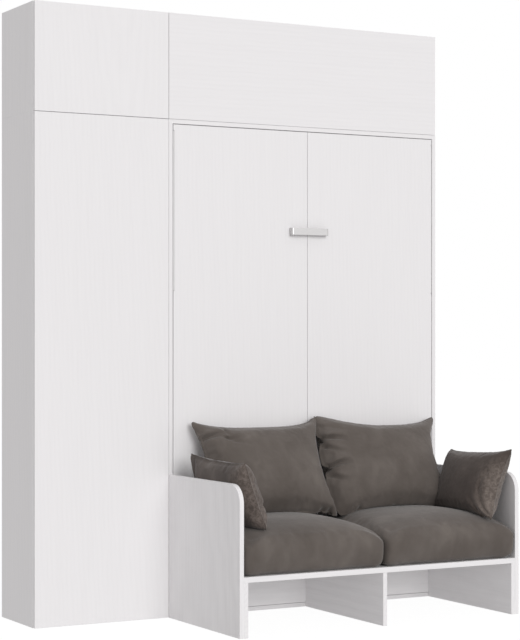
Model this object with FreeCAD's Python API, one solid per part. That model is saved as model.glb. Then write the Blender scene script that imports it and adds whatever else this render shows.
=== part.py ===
import FreeCAD, Part
import math
import os

# A wall bed with a sofa in front of it, beside a tall column, under two top cupboards.
# Millimetres. X runs to the right seen from the room, Y towards the wall, Z up from the floor.
# The origin is on the floor under the middle of the whole piece of furniture.

Vector = FreeCAD.Vector
parts = {}

# Cabinet sizes
board = 18.0
column_width = 600.0
upper_height = 446.0
cabinet_depth = 366.0
back_panel = 6.0
shelf_count = 4
shelf_setback = 20.0
door_reveal = 1.0
buffer_gap = 1.5
inset_gap = 3.0
bed_seam_gap = 1.6
edge_ease = 0.8
wall_rail_height = 80.0
wall_bolt_spacing = 1000.0
wall_bolt_hole = 4.5
lower_panel_board = 16.0
lower_panel_gap = 1.5
door_bottom = 400.0

# Sofa sizes
sofa_depth = 628.0
arm_board = 19.0
arm_height = 598.0
arm_corner_radius = 75.0
support_board = 19.0
seat_board = 22.0
seat_height = 238.0

# Bed sizes
mattress_width = 1200.0
mattress_length = 1900.0
mattress_thickness = 140.0
mattress_corner = 28.0
rail_depth = 30.0
rail_width = 40.0
rail_wall = 2.0
frame_start = 110.0
frame_margin = 10.0
frame_side = 18.0
frame_side_gap = 34.0
frame_head_gap = 37.0
slat_count = 13
slat_width = 68.0
slat_thickness = 8.0
holder_wall = 3.0
holder_length = 36.0
soft_gap = 0.5
strap_width = 50.0
strap_thickness = 1.6
strap_slat_counts = (3, 11)

# Hinge of the bed and the plates that carry it
pivot_forward = 150.0
pivot_above_cushions = 12.0
pivot_pin_radius = 10.0
pivot_eye_radius = 26.0
plate_thickness = 6.0
bearing_thickness = 5.0
bearing_gap = 1.0
running_gap = 0.1
plate_flange_rise = 245.0
plate_flange_width = 28.0
plate_boss_radius = 9.0
plate_boss_count = 3
pin_cap_radius = 14.0
pin_cap_thickness = 4.0
bearing_half_width = 38.0
bearing_half_height = 60.0

# Falling legs at the foot of the bed
leg_thickness = 5.0
leg_width = 24.0
leg_recess = 1.0
leg_pin_margin = 25.0
leg_pin_radius = 5.0
leg_head_radius = 14.0
leg_sleeve_radius = 8.0
leg_floor_gap = 1.0
leg_slot_gap = 1.5
leg_side_gap = 0.5
leg_foot_radius = 3.0

# Gas struts of the bed
strut_radius = 10.5
strut_rod_radius = 4.5
strut_inset = 21.0
strut_eye_radius = 10.0
strut_eye_thickness = 10.0
strut_stud_radius = 4.0
strut_root_forward = 200.0
strut_root_height = 1220.0
strut_bed_height = 250.0
strut_dead_length = 30.0
side_clearance = 0.5

# Gas stays of the wide flap
stay_radius = 7.0
stay_rod_radius = 2.5
stay_eye_radius = 7.0
stay_eye_thickness = 6.0
stay_stud_radius = 3.0
stay_inset = 24.0
stay_root_depth = 220.0
stay_root_below = 150.0
stay_flap_depth = 40.0
stay_flap_below = 70.0
stay_dead_length = 16.0

# Hinges of the doors and the flap
hinge_cup_radius = 17.5
hinge_cup_depth = 11.5
hinge_cup_edge = 22.5
hinge_flange_length = 60.0
hinge_flange_width = 22.0
hinge_flange_thickness = 1.0
hinge_plate_length = 52.0
hinge_plate_height = 42.0
hinge_plate_thickness = 9.0
hinge_arm_height = 22.0
hinge_arm_thickness = 8.0
hinge_arm_gap = 0.5
flap_axis_edge = 6.0
flap_axis_depth = 9.0
hinge_end_distance = 100.0
column_hinge_count = 4
cupboard_hinge_count = 2
flap_hinge_count = 4

# Handle on the bed's doors
handle_length = 184.0
handle_height = 30.0
handle_thickness = 3.0
handle_reach = 28.0
handle_bend = 8.0
handle_foot = 16.0
handle_centre_height = 1630.0

# Soft pieces
seat_cushion_side_gap = 2.0
seat_cushion_middle_gap = 2.0
seat_cushion_setback = 6.0
seat_cushion_crown = 205.0
seat_cushion_corner = 32.0
seat_cushion_draw = 2.0
seat_scale_shares = (0.94, 0.985, 1.0, 1.0, 0.985, 0.95, 0.88, 0.75, 0.55, 0.28)
seat_height_shares = (0.0, 0.07, 0.2, 0.55, 0.7, 0.81, 0.9, 0.955, 0.985, 1.0)
rest_gap = 0.4
soft_corner_steps = 2
soft_side_steps = 3
pillow_scale_shares = (1.0, 0.955, 0.87, 0.73, 0.52, 0.27)
pillow_rise_shares = (0.0, 0.17, 0.44, 0.72, 0.92, 1.0)
back_cushion_side_gap = 50.0
back_cushion_height = 452.0
back_cushion_thickness = 215.0
back_cushion_tilt = 25.0
back_cushion_forward = 128.0
back_cushion_centre_height = 620.0
back_cushion_corner = 16.0
back_cushion_side_draw = 40.0
back_cushion_top_draw = 40.0
back_cushion_middle_gap = 2.0
back_cushion_shift = 20.0
arm_pillow_width = 460.0
arm_pillow_height = 300.0
arm_pillow_thickness = 140.0
arm_pillow_tilts = {"left": 20.0, "right": 25.0}
arm_pillow_rolls = {"left": -2.0, "right": 2.0}
arm_pillow_inset = 76.0
arm_pillow_forwards = {"left": 372.0, "right": 405.0}
arm_pillow_centre_height = 553.0
arm_pillow_corner = 12.0
arm_pillow_side_draw = 20.0
arm_pillow_top_draw = 12.0

# Sizes and places that follow from them
bed_unit_width = mattress_width + 2 * (frame_side + frame_side_gap + board)
frame_end = frame_start + mattress_length + 2 * frame_margin
lower_height = frame_end + frame_head_gap + board
leg_pin_height = frame_end - leg_pin_margin
half_width = (column_width + bed_unit_width) / 2
left_x = -half_width
right_x = half_width
seam_x = left_x + column_width
bed_x = seam_x + bed_unit_width / 2
wall_y = (cabinet_depth + sofa_depth) / 2
front_y = wall_y - cabinet_depth
sofa_y = front_y - sofa_depth
carcass_y = front_y + board + buffer_gap
top_z = lower_height + upper_height
half_inner = bed_unit_width / 2 - board
arm_inner = bed_unit_width / 2 - arm_board
door_half = half_inner - inset_gap
door_top = lower_height - board - inset_gap
pivot_height = seat_height + seat_cushion_crown + pivot_above_cushions
plate_flange_top = pivot_height + plate_flange_rise
strut_offset = half_inner - strut_inset
back_cushion_width = arm_inner - back_cushion_middle_gap / 2 - back_cushion_side_gap
overrun = board


def box(x, y, z):
    """A box between pairs of places along each direction."""
    x, y, z = sorted(x), sorted(y), sorted(z)
    return Part.makeBox(x[1] - x[0], y[1] - y[0], z[1] - z[0], Vector(x[0], y[0], z[0]))


def panel(x, y, z):
    """A laminate board with slightly eased edges."""
    solid = box(x, y, z)
    return solid.makeChamfer(edge_ease, solid.Edges)


def across(side, near, far):
    """Two places at these distances from the bed's middle, on one side of it."""
    return (bed_x + side * near, bed_x + side * far)


def disc(centre, direction, radius, length):
    """A cylinder that starts at a point and runs along a direction."""
    return Part.makeCylinder(radius, length, centre, direction)


def side_disc(side, near, far, y, z, radius):
    """A cylinder along X between two distances from the bed's middle."""
    low, high = sorted(across(side, near, far))
    return disc(Vector(low, y, z), Vector(1, 0, 0), radius, high - low)


def outline_plate(points, x_low, thickness):
    """A plate parallel to the YZ plane, from its outline's corner points."""
    corners = [Vector(x_low, y, z) for y, z in points]
    return Part.Face(Part.makePolygon(corners + corners[:1])).extrude(Vector(thickness, 0, 0))


def tube(x, y, z, wall):
    """A rectangular tube along the longest of its three directions, open at both ends."""
    outer = box(x, y, z)
    spans = [sorted(x), sorted(y), sorted(z)]
    lengths = [high - low for low, high in spans]
    along = lengths.index(max(lengths))
    inner = []
    for index, (low, high) in enumerate(spans):
        inner.append((low - wall, high + wall) if index == along else (low + wall, high - wall))
    return outer.cut(box(*inner))


def joined(solids):
    """One solid made of touching solids."""
    return solids[0].fuse(solids[1:]).removeSplitter()


def spread(low, high, count):
    """Evenly spaced places from low to high, both included."""
    return [low + (high - low) * index / (count - 1) for index in range(count)]


def cup_hole(x, z):
    """The blind hole for a hinge cup in the back of an overlay door."""
    centre = Vector(x, front_y + board - hinge_cup_depth, z)
    return disc(centre, Vector(0, 1, 0), hinge_cup_radius, overrun)


def hinge_cup(x, z, upright):
    """The cup and flange of a concealed hinge, on the back of a door."""
    centre = Vector(x, front_y + board - hinge_cup_depth, z)
    cup = disc(centre, Vector(0, 1, 0), hinge_cup_radius, hinge_cup_depth)
    flange_x, flange_z = hinge_flange_width / 2, hinge_flange_length / 2
    if not upright:
        flange_x, flange_z = flange_z, flange_x
    back = front_y + board
    flange = box((x - flange_x, x + flange_x), (back, back + hinge_flange_thickness),
                 (z - flange_z, z + flange_z))
    return joined([cup, flange])


def side_hinge_plate(side_x, z):
    """The mounting plate and arm of a hinge, on the inner face of a left side board."""
    arm_front = front_y + board + hinge_flange_thickness + hinge_arm_gap
    plate_front = carcass_y + hinge_plate_thickness
    plate = box((side_x, side_x + hinge_plate_thickness),
                (plate_front, plate_front + hinge_plate_length),
                (z - hinge_plate_height / 2, z + hinge_plate_height / 2))
    arm = box((side_x + hinge_plate_thickness, side_x + hinge_plate_thickness + hinge_arm_thickness),
              (arm_front, plate_front + hinge_plate_length),
              (z - hinge_arm_height / 2, z + hinge_arm_height / 2))
    return joined([plate, arm])


def top_hinge_plate(x, board_z):
    """The mounting plate and arm of a flap hinge, under a top board."""
    arm_front = front_y + board + hinge_flange_thickness + hinge_arm_gap
    plate_front = carcass_y + hinge_plate_thickness
    plate = box((x - hinge_plate_height / 2, x + hinge_plate_height / 2),
                (plate_front, plate_front + hinge_plate_length),
                (board_z - hinge_plate_thickness, board_z))
    arm = box((x - hinge_arm_height / 2, x + hinge_arm_height / 2),
              (arm_front, plate_front + hinge_plate_length),
              (board_z - hinge_plate_thickness - hinge_arm_thickness, board_z - hinge_plate_thickness))
    return joined([plate, arm])


def overlay_door(x, z, cups):
    """A door that covers the front edges of a carcass, with holes for its hinge cups."""
    door = panel((x[0] + door_reveal, x[1] - door_reveal), (front_y, front_y + board),
                 (z[0] + door_reveal, z[1] - door_reveal))
    return door.cut(Part.makeCompound([cup_hole(*cup) for cup in cups]))


def carcass(name, x, z):
    """The sides, top, bottom and back of one cupboard."""
    inner_x = (x[0] + board, x[1] - board)
    shallow = (carcass_y, wall_y - back_panel)
    sides = [panel((x[0], inner_x[0]), (carcass_y, wall_y), z),
             panel((inner_x[1], x[1]), (carcass_y, wall_y), z)]
    flats = [panel(inner_x, shallow, (z[0], z[0] + board)),
             panel(inner_x, shallow, (z[1] - board, z[1]))]
    parts[name + "_back"] = box(inner_x, (wall_y - back_panel, wall_y), z)
    return sides, flats


def column():
    """The tall cupboard on the left."""
    x, z = (left_x, seam_x), (0, lower_height)
    sides, flats = carcass("column", x, z)
    parts["column_side_left"], parts["column_side_right"] = sides
    parts["column_flats"] = Part.makeCompound(flats)
    shelf_zone = spread(board, lower_height - board, shelf_count + 2)[1:-1]
    parts["column_shelves"] = Part.makeCompound([
        panel((left_x + board, seam_x - board), (carcass_y + shelf_setback, wall_y - back_panel),
              (place - board / 2, place + board / 2)) for place in shelf_zone])
    cups = [(left_x + hinge_cup_edge, place)
            for place in spread(hinge_end_distance, lower_height - hinge_end_distance, column_hinge_count)]
    parts["column_door"] = overlay_door(x, z, cups)
    parts["column_hinge_cups"] = Part.makeCompound([hinge_cup(*cup, True) for cup in cups])
    return [side_hinge_plate(left_x + board, cup[1]) for cup in cups]


def upper_left():
    """The cupboard above the column, with a side-hung door."""
    x, z = (left_x, seam_x), (lower_height, top_z)
    sides, flats = carcass("upper_left", x, z)
    parts["upper_left_sides"] = Part.makeCompound(sides)
    parts["upper_left_flats"] = Part.makeCompound(flats)
    cups = [(left_x + hinge_cup_edge, place)
            for place in spread(lower_height + hinge_end_distance, top_z - hinge_end_distance,
                                cupboard_hinge_count)]
    parts["upper_left_door"] = overlay_door(x, z, cups)
    parts["upper_left_hinge_cups"] = Part.makeCompound([hinge_cup(*cup, True) for cup in cups])
    return [side_hinge_plate(left_x + board, cup[1]) for cup in cups]


def upper_right():
    """The wide cupboard above the bed, with a flap that lifts."""
    x, z = (seam_x, right_x), (lower_height, top_z)
    sides, flats = carcass("upper_right", x, z)
    parts["upper_right_sides"] = Part.makeCompound(sides)
    parts["upper_right_flats"] = Part.makeCompound(flats)
    parts["upper_right_divider"] = panel(
        (bed_x - board / 2, bed_x + board / 2), (carcass_y + shelf_setback, wall_y - back_panel),
        (lower_height + board, top_z - board))
    end = board + stay_inset + hinge_end_distance
    cups = [(place, top_z - hinge_cup_edge) for place in spread(seam_x + end, right_x - end, flap_hinge_count)]
    parts["upper_right_flap"] = overlay_door(x, z, cups)
    parts["flap_hinge_cups"] = Part.makeCompound([hinge_cup(*cup, False) for cup in cups])
    return [top_hinge_plate(cup[0], top_z - board) for cup in cups]


def bed_surround():
    """The frame of boards round the bed, the rails at the wall and the fixed panel below the doors."""
    depth = (front_y, wall_y)
    inner = (seam_x + board, right_x - board)
    parts["surround_left"] = panel((seam_x, inner[0]), depth, (0, lower_height))
    parts["surround_right"] = panel((inner[1], right_x), depth, (0, lower_height))
    parts["surround_top"] = panel(inner, depth, (lower_height - board, lower_height))
    parts["surround_bottom"] = panel(inner, depth, (0, board))
    rails = []
    for low in (board, lower_height - board - wall_rail_height):
        rail = panel(inner, (wall_y - board, wall_y), (low, low + wall_rail_height))
        for side in (-1, 1):
            centre = Vector(bed_x + side * wall_bolt_spacing / 2, wall_y - board - overrun,
                            low + wall_rail_height / 2)
            rail = rail.cut(disc(centre, Vector(0, 1, 0), wall_bolt_hole, board + 2 * overrun))
        rails.append(rail)
    parts["wall_rails"] = Part.makeCompound(rails)
    parts["lower_panel"] = panel(inner, (front_y, front_y + lower_panel_board),
                                 (board + lower_panel_gap, door_bottom - inset_gap))


def arm_panel(x_low):
    """A sofa arm: a board from the floor with a round corner at the top front."""
    corner = arm_corner_radius
    bend = corner * (1 - math.sqrt(0.5))
    bottom_back, bottom_front = Vector(x_low, front_y, 0), Vector(x_low, sofa_y, 0)
    front_end = Vector(x_low, sofa_y, arm_height - corner)
    middle = Vector(x_low, sofa_y + bend, arm_height - bend)
    top_start, top_back = Vector(x_low, sofa_y + corner, arm_height), Vector(x_low, front_y, arm_height)
    edges = [Part.LineSegment(bottom_back, bottom_front).toShape(),
             Part.LineSegment(bottom_front, front_end).toShape(),
             Part.Arc(front_end, middle, top_start).toShape(),
             Part.LineSegment(top_start, top_back).toShape(),
             Part.LineSegment(top_back, bottom_back).toShape()]
    solid = Part.Face(Part.Wire(edges)).extrude(Vector(arm_board, 0, 0))
    return solid.makeChamfer(edge_ease, solid.Edges)


def sofa():
    """The fixed sofa base in front of the bed."""
    depth = (sofa_y, front_y)
    below_seat = (0, seat_height - seat_board)
    inner = (seam_x + arm_board, right_x - arm_board)
    parts["sofa_arm_left"] = arm_panel(seam_x)
    parts["sofa_arm_right"] = arm_panel(right_x - arm_board)
    parts["seat_supports"] = Part.makeCompound([
        panel((inner[0], inner[0] + support_board), depth, below_seat),
        panel((inner[1] - support_board, inner[1]), depth, below_seat)])
    parts["seat_divider"] = panel((bed_x - support_board / 2, bed_x + support_board / 2), depth, below_seat)
    parts["seat_board"] = panel(inner, depth, (seat_height - seat_board, seat_height))


def bed_door(side):
    """One of the two panels on the face of the bed, cut away for the pivot plate and the leg."""
    door = panel(across(side, bed_seam_gap / 2, door_half), (front_y, front_y + board), (door_bottom, door_top))
    plate_outer = arm_inner - bearing_thickness - bearing_gap
    plate_near = plate_outer - plate_thickness - leg_side_gap
    thickness = (front_y - overrun, front_y + board + overrun)
    plate_notch = box(across(side, plate_near, door_half + overrun), thickness,
                      (door_bottom - overrun, pivot_height + pivot_eye_radius + leg_slot_gap))
    leg_near = door_half - leg_thickness - leg_side_gap
    leg_notch = box(across(side, leg_near, door_half + overrun), thickness,
                    (leg_bottom() - leg_slot_gap, leg_pin_height + leg_reach() + leg_slot_gap))
    turning_room = side_disc(side, leg_near, door_half + overrun, front_y + rail_centre(), leg_pin_height,
                             math.hypot(leg_reach(), leg_reach()) + leg_slot_gap)
    return door.cut([plate_notch, leg_notch, turning_room])


def pivot_y():
    """Depth of the axis that the bed turns on."""
    return front_y - pivot_forward


def rail_centre():
    """Depth of the middle of the bed's rails behind the face of its doors."""
    return board + rail_depth / 2


def leg_reach():
    """How far a leg's front face lies before its pin. Its head reaches as far above the pin, to fill the slot."""
    return rail_centre() - leg_recess


def leg_length():
    """From the leg's pin down to its foot, with the bed open."""
    return pivot_height + pivot_forward + rail_centre() - leg_floor_gap


def leg_bottom():
    """Height of the leg's foot while the bed is closed."""
    return leg_pin_height - leg_length()


def handle():
    """A flat bridge pull over the seam of the two doors, its ends bent back to them."""
    half, outer, inner = handle_length / 2, handle_bend, handle_bend - handle_thickness
    face, back = front_y - handle_reach, front_y
    low = handle_centre_height - handle_height / 2

    def point(x, y):
        return Vector(bed_x + x, y, low)

    def bend(side, radius):
        centre_x, centre_y = side * (half - handle_bend), face + handle_bend
        slant = radius * math.sqrt(0.5)
        return Part.Arc(point(centre_x + side * radius, centre_y),
                        point(centre_x + side * slant, centre_y - slant),
                        point(centre_x, centre_y - radius)).toShape()

    def line(x0, y0, x1, y1):
        return Part.LineSegment(point(x0, y0), point(x1, y1)).toShape()

    turn_y, inner_x = face + handle_bend, half - handle_thickness
    edges = [line(-half, back, -half, turn_y), bend(-1, outer),
             line(-(half - handle_bend), face, half - handle_bend, face), bend(1, outer),
             line(half, turn_y, half, back), line(half, back, inner_x, back),
             line(inner_x, back, inner_x, turn_y), bend(1, inner),
             line(half - handle_bend, face + handle_thickness, -(half - handle_bend), face + handle_thickness),
             bend(-1, inner), line(-inner_x, turn_y, -inner_x, back), line(-inner_x, back, -half, back)]
    strip = Part.Face(Part.Wire(Part.__sortEdges__(edges))).extrude(Vector(0, 0, handle_height))
    feet = []
    for side in (-1, 1):
        end = bed_x + side * inner_x
        feet.append(box((end - side * handle_foot, end), (back - handle_thickness, back),
                        (low, low + handle_height)))
    return joined([strip] + feet)


def bed_frame():
    """The welded frame of tubes, the slats in their holders, the mattress and its straps."""
    low_y = front_y + board
    depth = (low_y, low_y + rail_depth)
    outer = mattress_width / 2 + frame_side
    inner = outer - rail_width
    for side, name in ((-1, "left"), (1, "right")):
        parts["bed_rail_" + name] = tube(across(side, inner, outer), depth, (frame_start, frame_end), rail_wall)
    span = (bed_x - inner, bed_x + inner)
    parts["bed_cross_rails"] = Part.makeCompound([
        tube(span, depth, (frame_start, frame_start + rail_width), rail_wall),
        tube(span, depth, (frame_end - rail_width, frame_end), rail_wall)])
    parts["bed_rail_centre"] = tube((bed_x - rail_width / 2, bed_x + rail_width / 2), depth,
                                    (frame_start + rail_width, frame_end - rail_width), rail_wall)
    slat_y = low_y + rail_depth
    first = frame_start + rail_width + slat_width
    slats, holders = [], []
    places = spread(first, frame_end - rail_width - slat_width, slat_count)
    for place in places:
        slats.append(box((bed_x - inner - holder_length / 2, bed_x + inner + holder_length / 2),
                         (slat_y, slat_y + slat_thickness), (place - slat_width / 2, place + slat_width / 2)))
        for side in (-1, 1):
            cap = box(across(side, inner - holder_wall, inner + holder_length),
                      (slat_y, slat_y + slat_thickness + holder_wall),
                      (place - slat_width / 2 - holder_wall, place + slat_width / 2 + holder_wall))
            holders.append(cap.cut(slats[-1]))
    parts["slats"] = Part.makeCompound(slats)
    parts["slat_holders"] = Part.makeCompound(holders)

    bottom = slat_y + slat_thickness + holder_wall + soft_gap
    start = frame_start + frame_margin
    block = box((bed_x - mattress_width / 2, bed_x + mattress_width / 2), (bottom, bottom + mattress_thickness),
                (start, start + mattress_length))
    corners = [edge for edge in block.Edges if abs(edge.BoundBox.YLength - mattress_thickness) < edge_ease]
    parts["mattress"] = block.makeFillet(mattress_corner, corners)

    straps = []
    near, far = mattress_width / 2 + soft_gap, mattress_width / 2 + soft_gap + strap_thickness
    top = bottom + mattress_thickness + soft_gap
    for number in strap_slat_counts:
        middle = (places[number - 1] + places[number]) / 2
        height = (middle - strap_width / 2, middle + strap_width / 2)
        over = box((bed_x - far, bed_x + far), (top, top + strap_thickness), height)
        ends = [box(across(side, near, far), (low_y + rail_depth, top), height) for side in (-1, 1)]
        straps.append(joined([over] + ends))
    parts["mattress_straps"] = Part.makeCompound(straps)


def plate_outline():
    """The bent outline of a pivot plate: an eye in front of the doors, an arm back, a flange up the rail."""
    eye_y, flange_back = pivot_y(), front_y + board + plate_flange_width
    flange_front = front_y + board
    low, high = pivot_height - pivot_eye_radius, pivot_height + pivot_eye_radius
    return [(eye_y, low), (flange_back, low), (flange_back, plate_flange_top),
            (flange_front, plate_flange_top), (flange_front, high), (eye_y, high)]


def pivots():
    """The plates that carry the bed and the bearings on the sofa's arms that they turn on."""
    plate_outer = arm_inner - bearing_thickness - bearing_gap
    plate_inner = plate_outer - plate_thickness
    rail_outer = mattress_width / 2 + frame_side
    bearings = []
    for side, name in ((-1, "left"), (1, "right")):
        x_low = min(across(side, plate_inner, plate_outer))
        blank = outline_plate(plate_outline(), x_low, plate_thickness)
        eye = side_disc(side, plate_inner, plate_outer, pivot_y(), pivot_height, pivot_eye_radius)
        bosses = [side_disc(side, rail_outer, plate_inner, front_y + rail_centre(), place, plate_boss_radius)
                  for place in spread(pivot_height + plate_flange_width, plate_flange_top - plate_flange_width,
                                      plate_boss_count)]
        hole = side_disc(side, plate_inner - overrun, plate_outer + overrun, pivot_y(), pivot_height,
                         pivot_pin_radius + running_gap)
        parts["pivot_plate_" + name] = joined([blank, eye] + bosses).cut(hole)

        back = box(across(side, arm_inner - bearing_thickness, arm_inner),
                   (pivot_y() - bearing_half_width, pivot_y() + bearing_half_width),
                   (pivot_height - bearing_half_height, pivot_height + bearing_half_height))
        cap_outer = plate_inner - side_clearance
        pin = side_disc(side, cap_outer - pin_cap_thickness, arm_inner - bearing_thickness, pivot_y(),
                        pivot_height, pivot_pin_radius)
        cap = side_disc(side, cap_outer - pin_cap_thickness, cap_outer, pivot_y(), pivot_height, pin_cap_radius)
        bearings.append(joined([back, pin, cap]))
    parts["arm_bearings"] = Part.makeCompound(bearings)


def legs():
    """Flat bars that hang from pins at the foot of the bed and stay upright while it turns."""
    near, far = door_half - leg_thickness, door_half
    pin_y, bar_y = front_y + rail_centre(), front_y + leg_recess
    rail_outer = mattress_width / 2 + frame_side
    pins = []
    for side, name in ((-1, "left"), (1, "right")):
        bar = box(across(side, near, far), (bar_y, bar_y + leg_width),
                  (leg_bottom(), leg_pin_height + leg_reach()))
        foot = [edge for edge in bar.Edges if edge.BoundBox.ZMax < leg_pin_height]
        foot = [edge for edge in foot if abs(edge.BoundBox.XLength - leg_thickness) < edge_ease]
        bar = bar.makeFillet(leg_foot_radius, foot)
        neck = box(across(side, near, far), (bar_y + leg_width / 2, pin_y),
                   (leg_pin_height - leg_head_radius, leg_pin_height + leg_head_radius))
        head = side_disc(side, near, far, pin_y, leg_pin_height, leg_head_radius)
        hole = side_disc(side, near - overrun, far + overrun, pin_y, leg_pin_height,
                         leg_pin_radius + running_gap)
        parts["leg_" + name] = joined([bar, neck, head]).cut(hole)
        sleeve = side_disc(side, rail_outer, near - side_clearance, pin_y, leg_pin_height, leg_sleeve_radius)
        shank = side_disc(side, rail_outer, far, pin_y, leg_pin_height, leg_pin_radius)
        pins.append(joined([sleeve, shank]))
    parts["leg_pins"] = Part.makeCompound(pins)


def opened(y, z):
    """Where a point of the closed bed lies when the bed is open."""
    return pivot_y() - (z - pivot_height), pivot_height + (y - pivot_y())


def strut_lengths(root, closed, open_place):
    """Eye to eye lengths of a strut, with the moving panel closed and open."""
    return [math.hypot(end[0] - root[0], end[1] - root[1]) for end in (closed, open_place)]


def strut_pair(x, root, end, size):
    """A gas strut in a plane of constant X: its cylinder and its rod, at the closed length."""
    start, stop = Vector(x, root[0], root[1]), Vector(x, end[0], end[1])
    way, aside = (stop - start).normalize(), Vector(1, 0, 0)
    half_thick = aside * (size["thick"] / 2)
    mouth = size["short"] - size["dead"]
    barrel = disc(start + way * (size["eye"] / 2), way, size["radius"], mouth - size["eye"] / 2)
    eye = disc(start - half_thick, aside, size["eye"], size["thick"])
    bore = disc(start + way * 2 * size["eye"], way, size["rod"] + running_gap, mouth)
    stud_hole = disc(start - aside * overrun, aside, size["stud"] + running_gap, 2 * overrun)
    cylinder = joined([barrel, eye]).cut([bore, stud_hole])
    rod_length = size["short"] - 3 * size["eye"]
    rod = disc(stop - way * rod_length, way, size["rod"], rod_length)
    rod_eye = disc(stop - half_thick, aside, size["eye"], size["thick"])
    return cylinder, joined([rod_eye, rod])


def bed_struts():
    """The two gas struts that carry the bed's weight, and the studs that hold them."""
    root = (front_y + strut_root_forward, strut_root_height)
    end = (front_y + rail_centre(), strut_bed_height)
    short = strut_lengths(root, end, opened(*end))[1]
    size = {"short": short, "eye": strut_eye_radius, "radius": strut_radius, "rod": strut_rod_radius,
            "thick": strut_eye_thickness, "stud": strut_stud_radius, "dead": strut_dead_length}
    half_eye = strut_eye_thickness / 2
    rail_outer = mattress_width / 2 + frame_side
    cabinet_studs, frame_studs, cylinders, rods = [], [], [], []
    for side in (-1, 1):
        cylinder, rod = strut_pair(bed_x + side * strut_offset, root, end, size)
        cylinders.append(cylinder)
        rods.append(rod)
        cabinet_studs.append(side_disc(side, strut_offset - half_eye - side_clearance, half_inner, *root,
                                       strut_stud_radius))
        frame_studs.append(side_disc(side, rail_outer, strut_offset - half_eye - side_clearance, *end,
                                     strut_eye_radius))
    parts["bed_strut_cylinders"] = Part.makeCompound(cylinders)
    parts["bed_strut_rods"] = Part.makeCompound(rods)
    parts["bed_strut_frame_studs"] = Part.makeCompound(frame_studs)
    return cabinet_studs


def flap_stays():
    """The two small gas stays that hold the wide flap open."""
    axis = (front_y + flap_axis_depth, top_z - flap_axis_edge)
    root = (front_y + stay_root_depth, top_z - stay_root_below)
    end = (front_y + stay_flap_depth, axis[1] - stay_flap_below)
    raised = (axis[0] + (end[1] - axis[1]), axis[1] - (end[0] - axis[0]))
    short = strut_lengths(root, end, raised)[0]
    size = {"short": short, "eye": stay_eye_radius, "radius": stay_radius, "rod": stay_rod_radius,
            "thick": stay_eye_thickness, "stud": stay_stud_radius, "dead": stay_dead_length}
    half_eye = stay_eye_thickness / 2
    cylinders, rods, studs, brackets = [], [], [], []
    for side in (-1, 1):
        offset = half_inner - stay_inset
        cylinder, rod = strut_pair(bed_x + side * offset, root, end, size)
        cylinders.append(cylinder)
        rods.append(rod)
        studs.append(side_disc(side, offset - half_eye - side_clearance, half_inner, *root, stay_stud_radius))
        near, far = offset + half_eye + side_clearance, offset + half_eye + side_clearance + stay_eye_thickness
        brackets.append(joined([
            side_disc(side, near, far, *end, stay_eye_radius),
            box(across(side, near, far), (front_y + board, end[0]),
                (end[1] - stay_eye_radius, end[1] + stay_eye_radius))]))
    parts["flap_stay_cylinders"] = Part.makeCompound(cylinders)
    parts["flap_stay_rods"] = Part.makeCompound(rods)
    parts["flap_stay_brackets"] = Part.makeCompound(brackets)
    return studs


def soft_outline(half_u, half_v, corner, side_draw, top_draw, foot_draw):
    """Points round a cushion: round corners, and sides that are drawn in between them."""
    points = []
    corners = ((1, 1), (-1, 1), (-1, -1), (1, -1))
    for index, (su, sv) in enumerate(corners):
        centre_u, centre_v = su * (half_u - corner), sv * (half_v - corner)
        start = index * math.pi / 2
        for step in range(soft_corner_steps + 1):
            angle = start + step * math.pi / 2 / soft_corner_steps
            points.append((centre_u + corner * math.cos(angle), centre_v + corner * math.sin(angle)))
        along_u = corners[(index + 1) % len(corners)][1] == sv
        for step in range(1, soft_side_steps):
            share = 2 * step / soft_side_steps - 1
            hollow = 1 - share * share
            if along_u:
                draw = top_draw if sv > 0 else foot_draw
                points.append((-share * centre_u, sv * (half_v - draw * hollow)))
            else:
                points.append((su * (half_u - side_draw * hollow), -share * centre_v))
    return points


def lofted(points, levels):
    """A closed solid through copies of one outline, each at its own size and height."""
    wires = []
    for scale, height in levels:
        corners = [Vector(scale * u, scale * v, height) for u, v in points]
        wires.append(Part.makePolygon(corners + corners[:1]))
    loft = Part.makeLoft(wires, True, True)
    faces = []
    for face in loft.Faces:
        ring = [vertex.Point for vertex in face.OuterWire.OrderedVertexes]
        faces.append(Part.Face(Part.makePolygon(ring + ring[:1])))
    shell = Part.makeShell(faces)
    shell.sewShape()
    return Part.makeSolid(shell)


def seat_cushion(side):
    """A box cushion with round edges and a crowned top, on one half of the seat board."""
    low_x = bed_x + side * seat_cushion_middle_gap / 2
    high_x = bed_x + side * (arm_inner - seat_cushion_side_gap)
    low_y, high_y = sofa_y, front_y - seat_cushion_setback
    half_u, half_v = abs(high_x - low_x) / 2, (high_y - low_y) / 2
    levels = [(scale, height * seat_cushion_crown)
              for scale, height in zip(seat_scale_shares, seat_height_shares)]
    outline = soft_outline(half_u, half_v, seat_cushion_corner, seat_cushion_draw, seat_cushion_draw,
                           seat_cushion_draw)
    solid = lofted(outline, levels)
    solid.translate(Vector((low_x + high_x) / 2, (low_y + high_y) / 2, seat_height + rest_gap))
    return solid


def pillow(width, height, thickness, corner, side_draw, top_draw):
    """A cushion with a seam round its edge, pointed corners and two swelling faces."""
    levels = [(scale, rise * thickness / 2) for scale, rise in zip(pillow_scale_shares, pillow_rise_shares)]
    below = [(scale, -rise) for scale, rise in reversed(levels[1:])]
    return lofted(soft_outline(width / 2, height / 2, corner, side_draw, top_draw, 0), below + levels)


def placed(solid, u, v, w, centre):
    """A solid turned so that its own three directions are u, v and w."""
    matrix = FreeCAD.Matrix(u.x, v.x, w.x, centre.x, u.y, v.y, w.y, centre.y, u.z, v.z, w.z, centre.z,
                            0, 0, 0, 1)
    solid.Placement = FreeCAD.Placement(matrix)
    return solid


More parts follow.
